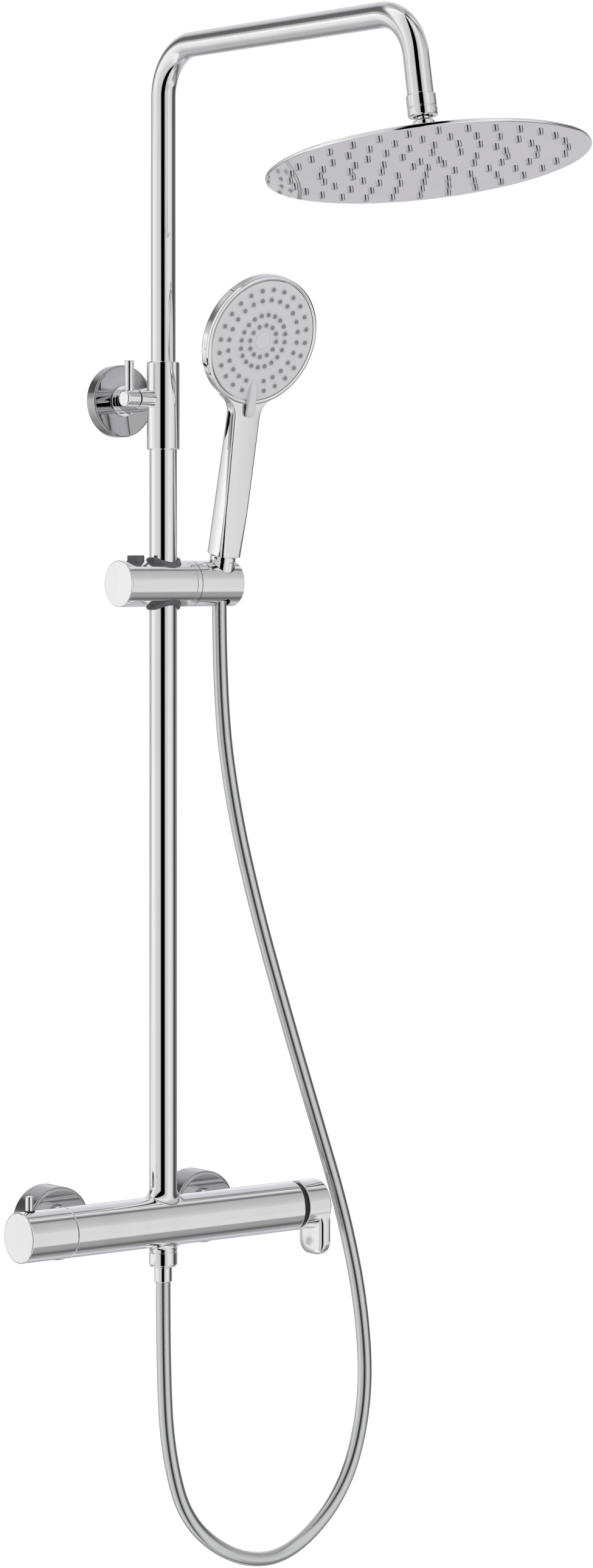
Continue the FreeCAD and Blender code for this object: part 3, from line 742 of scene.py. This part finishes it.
def makeFlowKnob():
    size = flowKnob

    def wave(angle, height):
        near = max(0.0, (150 - height) / 12)
        return size["lipWave"] * near * max(0.0, math.cos(angle)) ** 2

    profile = [(bar["radius"], size["start"], 0.9), (bar["radius"], size["end"], 1.2)]
    barrel = solidTurned(profile, (0, riserY, 0), axisX, 0.4, 128, wave)
    # the thumb paddle hangs under the barrel: a plate with round lower corners
    front, back, drop, corner = size["front"], size["back"], size["drop"], size["cornerRadius"]
    outline = [(-front, -6), (-front, -16)]
    for centre, start in ((corner - front, 180), (back - corner, 270)):
        for k in range(13):
            a = math.radians(start + 90 * k / 12)
            outline.append((centre + corner * math.cos(a), corner - drop + corner * math.sin(a)))
    outline += [(back, -16), (back, -6)]
    sections = []
    for x, inset in size["sections"]:
        section = []
        for y, z in outline:
            y, z = y * (1 - inset / back), z * (1 - inset / drop)
            slope = size["innerSlope"] * max(0.0, y + 4) * min(1.0, max(0.0, (156.5 - x) / 5))
            section.append(Vector((x + slope, riserY + y, z)))
        sections.append(section)
    knob = makePiece("flowKnob", [barrel], finishes["chromed_plastic"])
    combine(knob, lofted(sections), "UNION")
    breakEdges(knob, 0.8, angle=50)
    handOver(knob, "flow_knob", "chromed_plastic", "flow_knob")
    gap = [solidTurned([(18.8, bar["right"] - 3), (18.8, size["start"] + 2)], (0, riserY, 0), axisX, 0.2)]
    addPiece("knobGapRing", gap, "black_plastic", "column", "knob_gap_ring")


hoseNut = dict(flat=11.1)


def makeHoseNut():
    base = (0, riserY, 0)
    profile = [(6.3, -37, 0.3), (10.6, -37, 0.5), (10.9, -35.6, 0.2), (11.6, -35.2, 0.3), (11.6, -25.4, 0.3),
               (11.0, -25.0, 0.2), (11.0, -24.2, 0.2), (11.6, -23.8, 0.3), (11.6, -21.9, 0.4),
               (8.3, -21.9, 0.3),
               (8.3, -35), (6.3, -35)]
    points, faces = ringTurned(profile, base, axisZ, 0.3, 96)
    flattened = []
    for p in points:
        x = p.x
        if -34.8 < p.z < -25.8 and abs(x) > hoseNut["flat"]:
            x = math.copysign(hoseNut["flat"], x)
        flattened.append(Vector((x, p.y, p.z)))
    addPiece("hoseNut", [(flattened, faces)], "chrome", "column", "hose_nut")
    collar = [(4, -33.8), (8, -33.8, 0.3), (8, -34.9, 0.2), (6, -34.9), (6, -37.6), (7.25, -37.6, 0.5),
              (7.25, -49.2, 0.8), (6.2, -50, 0.2), (4, -50)]
    shell = ringTurned(collar, base, axisZ, 0.25, 96)
    return addPiece("hoseCollar", [shell], "chrome", "hose_swivel", "hose_lower_collar")


makeMixer()
makeWallUnions()
makeTemperatureKnob()
makeFlowKnob()
hoseCollar = makeHoseNut()
print("mixer made")


# riser, bracket and arm

def makeRiser():
    base = (0, riserY, 0)
    pipe = [tubeTurned(11.4, 10.5, 12, 652, base, axisZ, 0.2, 128)]
    addPiece("lowerRiser", pipe, "chrome", "column", "lower_riser_pipe")
    low, high = nodeBox("bracket_sleeve")
    rim = [(11.45, low.z, 0.15), (12.9, low.z, 0.4), (13.5, low.z + 0.9, 0.3), (13.5, high.z - 0.9, 0.3),
           (12.9, high.z, 0.4), (10.5, high.z, 0.15), (10.5, low.z + 18.5), (11.45, low.z + 18.5)]
    sleeve = ringTurned(rim, base, axisZ, 0.2, 128)
    stub = solidTurned([(7.1, -26.3, 0.4), (7.1, -12)], (0, riserY, bracketZ), axisX, 0.2, 64)
    addPiece("bracketSleeve", [sleeve, stub], "chrome", "column", "bracket_sleeve")


def makeBracket():
    centre = Vector((0, riserY, bracketZ))
    front = nodeBox("bracket_flange")[0].y
    cover = [(10.1, front, 0.3), (30, front, 1.4), (30, -0.2, 0.2), (28.4, -0.2, 0.2), (28.4, front + 1.6),
             (10.1, front + 1.6)]
    shell = ringTurned(cover, (0, 0, bracketZ), axisY, 0.3, 160)
    # the flange takes the darkened chrome, which is painted shade
    handOver(makePiece("bracketFlange", [shell], shadedCoverChrome), "column", "chrome", "bracket_flange")
    stem = [solidTurned([(10, riserY + 9), (10, front - 1.6, 0.2), (13, front - 1.6, 0.4),
                         (13, front - 0.1, 0.2),
                         (10, front - 0.1), (10, -5.5)], (0, 0, bracketZ), axisY, 0.3, 96)]
    addPiece("bracketStem", stem, "chrome", "column", "bracket_stem")
    seal = [solidTurned([(6.5, -27.4), (6.5, -26.2)], centre, axisX, 0.1, 64)]
    addPiece("clampSeal", seal, "black_plastic", "column", "clamp_seal")
    knob = [solidTurned([(7.1, -40.8, 1.8), (7.1, -27.5, 0.5)], centre, axisX, 0.4, 96)]
    addPiece("clampKnob", knob, "chrome", "clamp_knob", "clamp_knob")
    low, high = nodeBox("clamp_pin")
    pin = [solidTurned([(3.75, low.z), (3.75, high.z, 0.8)], ((low.x + high.x) / 2, riserY, 0), axisZ, 0.3,
                       64)]
    addPiece("clampPin", pin, "chrome", "clamp_knob", "clamp_pin")


arm = dict(radius=10.2, firstBend=40.0, secondBend=42.0, foot=500.0, nutLow=37.1, nutHigh=54.2)


def outOfHead(height):
    return headCentre + dropAxis * height


def armLine():
    points = [Vector((0, riserY, arm["foot"])), Vector((0, riserY, 640)), Vector((0, riserY, armZ - 60))]
    r = arm["firstBend"]
    centre = Vector((0, riserY - r, armZ - r))
    for k in range(31):
        a = math.pi / 2 * k / 30
        points.append(centre + Vector((0, r * math.cos(a), r * math.sin(a))))
    r = arm["secondBend"]
    sweep = math.pi / 2 - headLean
    corner = Vector((0, riserY - 316.5, armZ))
    centre = corner + Vector((0, r * math.tan(sweep / 2), -r))
    for y in (-160, -260):
        points.append(Vector((0, y, armZ)))
    for k in range(31):
        a = sweep * k / 30
        points.append(centre + Vector((0, -r * math.sin(a), r * math.cos(a))))
    points.append(outOfHead(80))
    points.append(outOfHead(54))
    return points


def makeArm():
    shell = along(armLine(), arm["radius"], 96)
    addPiece("showerArm", [shell], "chrome", "shower_arm", "shower_arm")
    nut = [(7.6, arm["nutLow"], 0.3), (10.8, arm["nutLow"], 0.4), (11.5, arm["nutLow"] + 1.0, 0.4),
           (11.5, 43.4, 0.2),
           (11.1, 43.7, 0.1), (11.1, 44.3, 0.1), (11.5, 44.6, 0.2), (11.5, arm["nutHigh"], 0.7),
           (7.6, arm["nutHigh"])]
    shell = ringTurned(nut, headCentre, dropAxis, 0.3, 96)
    addPiece("armNut", [shell], "chrome", "shower_arm", "arm_nut")


makeRiser()
makeBracket()
makeArm()
print("riser, bracket and arm made")


# rain head

rainHead = dict(radius=125.0, thickness=3.0,
                rings=((12.4, 5), (37.3, 10), (60.3, 20), (83.3, 25), (106.3, 30)),
                nozzleRadius=2.5, nozzleHeight=2.6)
headPlace = Matrix.Translation(headCentre) @ Matrix((axisX, headOut, -dropAxis)).transposed().to_4x4()


def makeRainHead():
    r, t = rainHead["radius"], rainHead["thickness"]
    plate = [(r - 0.9, 0, 0.3), (r, 0.9, 0.5), (r, t - 0.6, 0.4), (r - 0.9, t - 0.2, 0.2), (r - 1.2, t - 1.2)]
    shell = solidTurned(plate, headCentre, dropAxis, 0.3, 256)
    # the spray plate takes the brightened chrome, which is a painted highlight
    handOver(makePiece("headSprayPlate", [shell], brightenedHeadMirror), "rain_head", "chrome", "head_spray_plate")
    top = solidTurned([(r - 1.1, t - 1.1), (r - 1.1, t, 0.3)], headCentre, dropAxis, 0.2, 256)
    addPiece("headTopPlate", [top], "chrome", "rain_head", "head_top_plate")
    boss = [(20, t), (20, t + 14, 5), (14, t + 20.5, 2.5), (14, 28.4, 0.8), (8.6, 28.4, 0.3), (8.6, t)]
    shell = ringTurned(boss, headCentre, dropAxis, 0.4, 128)
    addPiece("headFlange", [shell], "chrome", "rain_head", "head_flange")
    ball = [(8.4, 20), (8.4, 33.6, 0.8), (5, 34.6, 0.6), (5, 38.6)]
    for k in range(13):
        a = math.radians(-48 + 138 * k / 12)
        ball.append((7.5 * math.cos(a), 45.2 + 7.5 * math.sin(a), 0))
    shell = solidTurned(ball[:-1], headCentre, dropAxis, 0.2, 96)
    addPiece("swivelBall", [shell], "chrome", "rain_head", "swivel_ball")


def nozzleTree(name, ringCount, layers):
    # rings of points, a turned nozzle on each, less those inside a bar-shaped gap
    tree = bpy.data.node_groups.new(name, "GeometryNodeTree")
    tree.interface.new_socket("Geometry", in_out="OUTPUT", socket_type="NodeSocketGeometry")
    for i in range(ringCount):
        tree.interface.new_socket(f"Ring {i + 1} radius", in_out="INPUT", socket_type="NodeSocketFloat")
        tree.interface.new_socket(f"Ring {i + 1} count", in_out="INPUT", socket_type="NodeSocketInt")
    for title in ("Gap half width", "Gap start", "Phase"):
        tree.interface.new_socket(title, in_out="INPUT", socket_type="NodeSocketFloat")
    for title in ("Body finish", "Tip finish"):
        tree.interface.new_socket(title, in_out="INPUT", socket_type="NodeSocketMaterial")
    nodes, links = tree.nodes, tree.links
    inputs = nodes.new("NodeGroupInput").outputs
    output = nodes.new("NodeGroupOutput")

    def add(kind, settings=None, sockets=None):
        node = nodes.new(kind)
        for key, value in (settings or {}).items():
            setattr(node, key, value)
        for key, value in (sockets or {}).items():
            if isinstance(value, bpy.types.NodeSocket):
                links.new(value, node.inputs[key])
            else:
                node.inputs[key].default_value = value
        return node

    rings = nodes.new("GeometryNodeJoinGeometry")
    for i in range(ringCount):
        circle = add("GeometryNodeMeshCircle", {"fill_type": "NONE"},
                     {"Vertices": inputs[f"Ring {i + 1} count"], "Radius": inputs[f"Ring {i + 1} radius"]})
        links.new(circle.outputs[0], rings.inputs[0])
    spin = add("ShaderNodeCombineXYZ", None, {"Z": inputs["Phase"]})
    turnedRings = add("GeometryNodeTransform", None,
                      {"Geometry": rings.outputs[0], "Rotation": spin.outputs[0]})
    place = add("ShaderNodeSeparateXYZ", None, {0: add("GeometryNodeInputPosition").outputs[0]})
    side = add("ShaderNodeMath", {"operation": "ABSOLUTE"}, {0: place.outputs["X"]})
    near = add("FunctionNodeCompare", {"operation": "LESS_THAN"},
               {0: side.outputs[0], 1: inputs["Gap half width"]})
    low = add("FunctionNodeCompare", {"operation": "LESS_THAN"},
              {0: place.outputs["Y"], 1: inputs["Gap start"]})
    both = add("FunctionNodeBooleanMath", {"operation": "AND"}, {0: near.outputs[0], 1: low.outputs[0]})
    kept = add("GeometryNodeDeleteGeometry", {"domain": "POINT"},
               {"Geometry": turnedRings.outputs[0], "Selection": both.outputs[0]})
    nozzle = nodes.new("GeometryNodeJoinGeometry")
    for bottom, top, start, height, tip in layers:
        cone = add("GeometryNodeMeshCone", None, {"Vertices": 14, "Radius Top": top, "Radius Bottom": bottom,
                                                  "Depth": height})
        lifted = add("GeometryNodeTransform", None,
                     {"Geometry": cone.outputs[0], "Translation": (0, 0, start)})
        marked = add("GeometryNodeStoreNamedAttribute", {"data_type": "BOOLEAN", "domain": "FACE"},
                     {"Geometry": lifted.outputs[0], "Name": "isTip", "Value": tip})
        links.new(marked.outputs[0], nozzle.inputs[0])
    spread = add("GeometryNodeInstanceOnPoints", None,
                 {"Points": kept.outputs[0], "Instance": nozzle.outputs[0]})
    real = add("GeometryNodeRealizeInstances", None, {"Geometry": spread.outputs[0]})
    body = add("GeometryNodeSetMaterial", None,
               {"Geometry": real.outputs[0], "Material": inputs["Body finish"]})
    tips = add("GeometryNodeInputNamedAttribute", {"data_type": "BOOLEAN"}, {"Name": "isTip"})
    done = add("GeometryNodeSetMaterial", None, {"Geometry": body.outputs[0], "Selection": tips.outputs[0],
                                                 "Material": inputs["Tip finish"]})
    links.new(done.outputs[0], output.inputs[0])
    return tree


def makeNozzles(name, rings, layers, place, phase, gap, bodyFinish, tipFinish):
    tree = nozzleTree(name + "Rings", len(rings), layers)
    piece = bpy.data.objects.new(name, bpy.data.meshes.new(name))
    bpy.context.collection.objects.link(piece)
    modifier = piece.modifiers.new("rings", "NODES")
    modifier.node_group = tree
    sockets = {s.name: s.identifier for s in tree.interface.items_tree if s.in_out == "INPUT"}
    for i, (radius, count) in enumerate(rings):
        modifier[sockets[f"Ring {i + 1} radius"]] = float(radius)
        modifier[sockets[f"Ring {i + 1} count"]] = count
    modifier[sockets["Gap half width"]] = float(gap[0])
    modifier[sockets["Gap start"]] = float(gap[1])
    modifier[sockets["Phase"]] = math.radians(phase)
    modifier[sockets["Body finish"]] = bodyFinish
    modifier[sockets["Tip finish"]] = tipFinish
    settle(piece)
    piece.data.transform(Matrix.Scale(mm, 4) @ place)
    if place.determinant() < 0:
        piece.data.flip_normals()
    piece.data.shade_smooth()
    piece.data.set_sharp_from_angle(angle=math.radians(40))
    return piece


def makeHeadNozzles():
    size = rainHead
    # bottom radius, top radius, start, height, whether it is the tip, which takes the tip finish: a
    # near-black painted shade for the nozzle's hole
    layers = [(size["nozzleRadius"], size["nozzleRadius"] - 0.05, -0.2, size["nozzleHeight"], False),
              (size["nozzleRadius"] - 0.05, 1.5, size["nozzleHeight"] - 0.2, 0.2, False),
              (0.75, 0.6, size["nozzleHeight"] - 0.05, 0.08, True)]
    # the nozzles' tips take the near-black painted shade of the hole
    piece = makeNozzles("headNozzles", size["rings"], layers, headPlace, 90, (0, -500), headNozzleMetal,
                        nozzleHoleShade)
    handOver(piece, "rain_head", "nozzle_grey", "head_nozzle_mat")


headNozzleMetal = platedMetal("nozzleSteel", (0.66, 0.66, 0.68, 1), (0.6, 0.6, 0.62, 1), 0.07, 0.04, 0.02)
makeRainHead()
makeHeadNozzles()
print("rain head made")


# slider

slider = dict(radius=19.0, left=-46.0, seam=21.8, holderStart=27.0, holderEnd=70.0, linerRadius=14.1,
              linerRise=2.2,
              buttonX=-28.0, buttonRadius=7.0)


def saddleLiner():
    # the dark sleeve round the riser: its lips follow the barrel's curve, a little above it
    segments = 96
    reach = slider["radius"] + slider["linerRise"]
    outer, inner = slider["linerRadius"], 11.7
    loops = [(outer, -1, 0.0), (outer, 1, 0.0), (outer - 0.25, 1, 0.3), (outer - 0.8, 1, 0.45),
             (inner + 0.5, 1, 0.45),
             (inner, 1, 0.1), (inner, -1, 0.1), (inner + 0.5, -1, 0.45), (outer - 0.8, -1, 0.45),
             (outer - 0.25, -1, 0.3)]
    points, rings = [], []
    for radius, side, rise in loops:
        rings.append(list(range(len(points), len(points) + segments)))
        for k in range(segments):
            a = 2 * math.pi * k / segments
            height = math.sqrt(reach ** 2 - (radius * math.sin(a)) ** 2) + rise
            points.append(Vector((radius * math.cos(a), riserY + radius * math.sin(a),
                                  sliderZ + side * height)))
    return points, ringFaces(rings, closed=True)


def makeSlider():
    base = (0, riserY, sliderZ)
    r = slider["radius"]
    barrel = [solidTurned([(r, slider["left"] + 1.6, 0.15), (r, slider["seam"], 0.3)], base, axisX, 0.2, 128),
              solidTurned([(7, slider["seam"] - 1), (7, slider["seam"] + 17)], base, axisX, 0.2, 64)]
    barrelPiece = makePiece("sliderBarrel", barrel[:1], finishes["chromed_plastic"])
    combine(barrelPiece, solidTurned([(13.2, -30), (13.2, 30)], base, axisZ, 0, 64), "DIFFERENCE")
    combine(barrelPiece, barrel[1], "UNION")
    handOver(barrelPiece, "slider", "chromed_plastic", "slider_body")
    cap = [solidTurned([(r, slider["left"], 0.7), (r, slider["left"] + 1.55, 0.1)], base, axisX, 0.3, 128)]
    addPiece("sliderEndCap", cap, "chromed_plastic", "slider", "slider_end_cap")
    addPiece("sliderSaddle", [saddleLiner()], "dark_grey_plastic", "slider", "slider_liner")
    ring = [tubeTurned(r, 7.1, slider["seam"] + 0.2, slider["holderStart"] - 0.35, base, axisX, 0.3, 128)]
    addPiece("sliderRing", ring, "chromed_plastic", "slider", "slider_ring")
    low, high = nodeBox("slider_button")
    button = [solidTurned([(slider["buttonRadius"], low.z), (slider["buttonRadius"], high.z, 0.6)],
                          (slider["buttonX"], riserY, 0), axisZ, 0.3, 64)]
    addPiece("sliderButton", button, "dark_grey_plastic", "slider_button", "slider_button")


def hullOf(points):
    work = bmesh.new()
    for p in points:
        work.verts.new(p)
    made = bmesh.ops.convex_hull(work, input=work.verts)
    spare = [v for v in made["geom_interior"] if isinstance(v, bmesh.types.BMVert)]
    bmesh.ops.delete(work, geom=spare, context="VERTS")
    work.verts.index_update()
    shell = ([v.co.copy() for v in work.verts], [[v.index for v in f.verts] for f in work.faces])
    work.free()
    return shell


def makeHolder():
    base = (0, riserY, sliderZ)
    r = slider["radius"]
    profile = [(r, slider["holderStart"], 0), (r, slider["holderEnd"], 0)]
    piece = makePiece("handsetHolder", [solidTurned(profile, base, axisX, 0, 160)],
                      finishes["chromed_plastic"])
    bore = solidTurned([(7.3, 0), (7.3, 13)], (slider["holderStart"] - 1, riserY, sliderZ), axisX, 0, 48)
    combine(piece, bore, "DIFFERENCE")
    cone = solidTurned([(9.7, -14), (11.7, 36)], (0, 0, 0), axisZ, 0, 96)
    combine(piece, placed(cone, handsetPlace), "DIFFERENCE")
    # the hose's way out, wide enough for the hanging hose to swing a little
    room = 6.8
    down = [Vector((0, 30 * math.sin(math.radians(a)), -30 * math.cos(math.radians(a)))) for a in (5, -13)]
    rim = []
    for end in down:
        across = axisX.cross(end).normalized()
        for start in (pivot, pivot + end):
            for k in range(48):
                a = 2 * math.pi * k / 48
                rim.append(start + axisX * (room * math.cos(a)) + across * (room * math.sin(a)))
    combine(piece, hullOf(rim), "DIFFERENCE")
    breakEdges(piece, 0.45, angle=35, segments=2)
    handOver(piece, "holder", "chromed_plastic", "handset_holder")


makeSlider()
makeHolder()
print("slider made")


# hand shower

handset = dict(radius=55.0, faceRadius=51.0, rings=((13.4, 12), (22.3, 20), (35.0, 24), (43.6, 24)),
               bottom=24.0,
               flare=17.0)


def roundedSection(width, depth, frontCorner, backCorner, back, height, steps=6):
    points = []
    corners = [(1, 1, backCorner, 0), (-1, 1, backCorner, 90), (-1, -1, frontCorner, 180),
               (1, -1, frontCorner, 270)]
    for sx, sy, corner, start in corners:
        cx, cy = sx * (width / 2 - corner), back + sy * (depth / 2 - corner)
        for k in range(steps + 1):
            a = math.radians(start + 90 * k / steps)
            points.append(Vector((cx + corner * math.cos(a), cy + corner * math.sin(a), height)))
    return points


def between(stops, place):
    # straight lines between the given stops
    for (z1, a), (z2, b) in zip(stops, stops[1:]):
        if place <= z2:
            t = max(0.0, (place - z1) / (z2 - z1))
            return a + (b - a) * t
    return stops[-1][1]


def makeHandle():
    top = 206.6
    centre = handset["radius"] + handset["flare"]
    sections = [roundedSection(20.6, 22.6, 5.6, 6.6, 0, handset["bottom"])]
    heights = [24.6, 25.6] + list(range(30, 136, 8)) + list(range(138, 168, 2))
    flareX = 14.0 + handset["flare"]
    flareStart = top - math.sqrt(centre ** 2 - flareX ** 2)
    for z in heights:
        half = between([(24, 11.0), (95, 12.5), (168, 14.0)], z)
        if z > flareStart:
            rise = min(z - flareStart, handset["flare"] * 0.93)
            half += handset["flare"] - math.sqrt(handset["flare"] ** 2 - rise ** 2)
        depth = between([(24, 24), (95, 19), (168, 13)], z)
        back = between([(24, 0), (95, 0.5), (168, 1.5)], z)
        front = between([(24, 5.0), (60, 2.2), (168, 1.6)], z)
        sections.append(roundedSection(2 * half, depth, front, min(depth / 2 - 0.3, 6.5), back, z))
    return lofted(sections)


def makeHandset():
    r = handset["radius"]
    shell = [(r - 0.3, 3.05, 0.1), (r, 3.4, 0.1), (r, 9.4, 1.0), (r - 3, 12.6, 2), (44, 17.2, 4),
             (30, 20.6, 6),
             (12, 21.6, 4)]
    back = solidTurned(shell, (0, 0, 0), axisY, 0.3, 160)
    shells = [placed(makeHandle(), handsetPlace), placed(back, facePlace)]
    addPiece("handsetBody", shells, "chromed_plastic", "handset", "handset_body")
    rim = [(handset["faceRadius"] + 0.35, 0.35, 0.15), (53.0, 0, 0.5), (r - 0.4, 0.4, 0.5), (r, 2.75, 0.2),
           (handset["faceRadius"] + 0.35, 2.75, 0.1)]
    ring = ringTurned(rim, (0, 0, 0), axisY, 0.3, 160)
    addPiece("handsetRim", [placed(ring, facePlace)], "chromed_plastic", "handset", "handset_rim")


def makeSprayFace():
    face = [(handset["faceRadius"], 2.4, 0.2), (handset["faceRadius"], 0.5, 0.5), (48.6, 0.2, 0.4),
            (8.3, 0.2, 0.15),
            (8.0, 0.45, 0.1), (7.3, 0.45, 0.1), (7.0, 0.1, 0.2)]
    disc = placed(solidTurned(face, (0, 0, 0), axisY, 0.2, 160), facePlace)
    # the selector fin: a narrow ridge that rises towards the handle and ends past the rim
    sections = []
    for z, width, rise in ((-32.4, 3.0, -0.3), (-33.2, 4.6, 0.4), (-37, 6.0, 1.6), (-43, 6.8, 2.8),
                           (-50, 7.4, 3.8),
                           (-57, 7.8, 4.6), (-61.5, 7.6, 4.8), (-63.6, 6.4, 4.6), (-64.6, 4.2, 4.2)):
        depth = 1.2 if z > -52 else -1.2
        section = []
        for k in range(25):
            a = math.pi * k / 24
            section.append(Vector((width / 2 * math.cos(a),
                                   -rise + min(rise + depth, 1.6) * (1 - math.sin(a)) * 0.9,
                                   z)))
        section += [Vector((-width / 2, depth, z)), Vector((width / 2, depth, z))]
        sections.append(section)
    fin = placed(lofted(sections), facePlace)
    addPiece("sprayFace", [disc, fin], "spray_grey", "spray_face", "spray_face")
    # each nozzle sits in a shallow moulded ring
    layers = [(2.6, 2.5, -0.1, 0.14, True), (1.85, 1.6, 0, 0.9, False), (1.5, 1.1, 0.85, 0.18, False),
              (0.5, 0.45, 1.0, 0.06, False)]
    place = facePlace @ Matrix((axisX, axisZ, -axisY)).transposed().to_4x4()
    piece = makeNozzles("handsetNozzles", handset["rings"], layers, place, -90, (5.0, -33), nozzleTip,
                        ringGrey)
    handOver(piece, "spray_face", "nozzle_grey", "handset_nozzle_mat")


def makeConeNut():
    cone = [(9.3, -12, 0.6), (10.6, 19.5, 0.3), (10.75, 20.2, 0.2), (10.75, 23.8, 0.5)]
    shell = placed(solidTurned(cone, (0, 0, 0), axisZ, 0.3, 96), handsetPlace)
    return addPiece("hoseConeNut", [shell], "chrome", "handset_cone", "hose_cone_nut")


makeHandset()
makeSprayFace()
hoseConeNut = makeConeNut()
print("hand shower made")


# pieces that keep their own shape

def dressInnerPieces():
    slots = {s["node"]: s["material_slot"] for s in frame["record"]["subparts"]}
    for name, piece in frame["nodes"].items():
        if not piece.hide_render:
            piece.data.materials.clear()
            piece.data.materials.append(finishes[slots[name]])


dressInnerPieces()
blendHose(hose)
